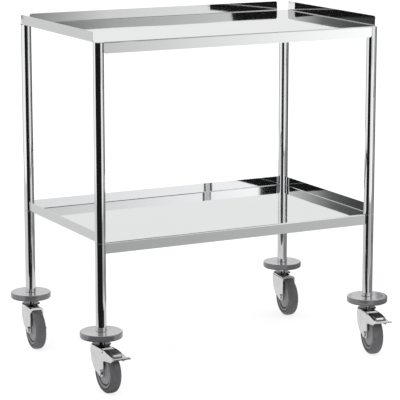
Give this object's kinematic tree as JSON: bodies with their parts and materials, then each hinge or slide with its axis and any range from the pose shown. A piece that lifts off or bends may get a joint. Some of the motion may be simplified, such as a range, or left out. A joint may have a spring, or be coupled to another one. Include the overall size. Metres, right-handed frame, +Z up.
{
  "type": "instrument trolley",
  "caption": "Wheeled instrument trolley with flat rimmed shelves on round polished legs, round bumper discs, swivelling casters and foot brakes at the front.",
  "frame": {"origin": "on the floor, under the middle of the bounding box", "axes": "+Z up, +X along the shelves to the right as seen from the front, +Y from the open front of the trays to their back rim"},
  "size_m": [0.825, 0.5862, 0.833],
  "materials": {
    "polished_steel": "mirror polished",
    "plated_steel": "bright plated",
    "pedal_steel": "satin plated",
    "bumper_rubber": "glossy",
    "tyre_rubber": "smooth",
    "hub_plastic": "satin",
    "shoe_plastic": "matte"
  },
  "bodies": {
    "frame": {"top_shelf": "polished_steel", "lower_shelf": "polished_steel", "top_stiffener": "polished_steel", "lower_stiffener": "polished_steel", "leg_front_left": "polished_steel", "bumper_front_left": "bumper_rubber", "caster_stem_front_left": "plated_steel", "swivel_cap_front_left": "plated_steel", "leg_front_right": "polished_steel", "bumper_front_right": "bumper_rubber", "caster_stem_front_right": "plated_steel", "swivel_cap_front_right": "plated_steel", "leg_rear_left": "polished_steel", "bumper_rear_left": "bumper_rubber", "caster_stem_rear_left": "plated_steel", "swivel_cap_rear_left": "plated_steel", "leg_rear_right": "polished_steel", "bumper_rear_right": "bumper_rubber", "caster_stem_rear_right": "plated_steel", "swivel_cap_rear_right": "plated_steel"},
    "swivel_front_left": {"fork_front_left": "plated_steel", "axle_bolt_front_left": "plated_steel", "axle_nut_front_left": "plated_steel", "pedal_rivets_front_left": "plated_steel"},
    "wheel_front_left": {"wheel_hub_front_left": "hub_plastic", "tyre_front_left": "tyre_rubber"},
    "pedal_front_left": {"brake_pedal_front_left": "pedal_steel", "brake_shoe_front_left": "shoe_plastic"},
    "swivel_front_right": {"fork_front_right": "plated_steel", "axle_bolt_front_right": "plated_steel", "axle_nut_front_right": "plated_steel", "pedal_rivets_front_right": "plated_steel"},
    "wheel_front_right": {"wheel_hub_front_right": "hub_plastic", "tyre_front_right": "tyre_rubber"},
    "pedal_front_right": {"brake_pedal_front_right": "pedal_steel", "brake_shoe_front_right": "shoe_plastic"},
    "swivel_rear_left": {"fork_rear_left": "plated_steel", "axle_bolt_rear_left": "plated_steel", "axle_nut_rear_left": "plated_steel"},
    "wheel_rear_left": {"wheel_hub_rear_left": "hub_plastic", "tyre_rear_left": "tyre_rubber"},
    "swivel_rear_right": {"fork_rear_right": "plated_steel", "axle_bolt_rear_right": "plated_steel", "axle_nut_rear_right": "plated_steel"},
    "wheel_rear_right": {"wheel_hub_rear_right": "hub_plastic", "tyre_rear_right": "tyre_rubber"}
  },
  "joints": [
    {"name": "caster_swivel_front_left", "type": "hinge", "parent": "frame", "child": "swivel_front_left", "pos_m": [-0.3625, -0.183, 0.105], "axis": [0, 0, 1], "continuous": true},
    {"name": "wheel_spin_front_left", "type": "hinge", "parent": "swivel_front_left", "child": "wheel_front_left", "pos_m": [-0.36189, -0.21799, 0.05], "axis": [0.9998, 0.0175, 0], "continuous": true},
    {"name": "brake_press_front_left", "type": "hinge", "parent": "swivel_front_left", "child": "pedal_front_left", "pos_m": [-0.36184, -0.22099, 0.1], "axis": [0.9998, 0.0175, 0], "range_deg": [0, 8]},
    {"name": "caster_swivel_front_right", "type": "hinge", "parent": "frame", "child": "swivel_front_right", "pos_m": [0.3625, -0.183, 0.105], "axis": [0, 0, 1], "continuous": true},
    {"name": "wheel_spin_front_right", "type": "hinge", "parent": "swivel_front_right", "child": "wheel_front_right", "pos_m": [0.35612, -0.21741, 0.05], "axis": [0.9833, -0.1822, 0], "continuous": true},
    {"name": "brake_press_front_right", "type": "hinge", "parent": "swivel_front_right", "child": "pedal_front_right", "pos_m": [0.35557, -0.22036, 0.1], "axis": [0.9833, -0.1822, 0], "range_deg": [0, 8]},
    {"name": "caster_swivel_rear_left", "type": "hinge", "parent": "frame", "child": "swivel_rear_left", "pos_m": [-0.3625, 0.242, 0.105], "axis": [0, 0, 1], "continuous": true},
    {"name": "wheel_spin_rear_left", "type": "hinge", "parent": "swivel_rear_left", "child": "wheel_rear_left", "pos_m": [-0.36494, 0.20708, 0.05], "axis": [0.9976, -0.0698, 0], "continuous": true},
    {"name": "caster_swivel_rear_right", "type": "hinge", "parent": "frame", "child": "swivel_rear_right", "pos_m": [0.3625, 0.242, 0.105], "axis": [0, 0, 1], "continuous": true},
    {"name": "wheel_spin_rear_right", "type": "hinge", "parent": "swivel_rear_right", "child": "wheel_rear_right", "pos_m": [0.35884, 0.20719, 0.05], "axis": [0.9945, -0.1045, 0], "continuous": true}
  ]
}
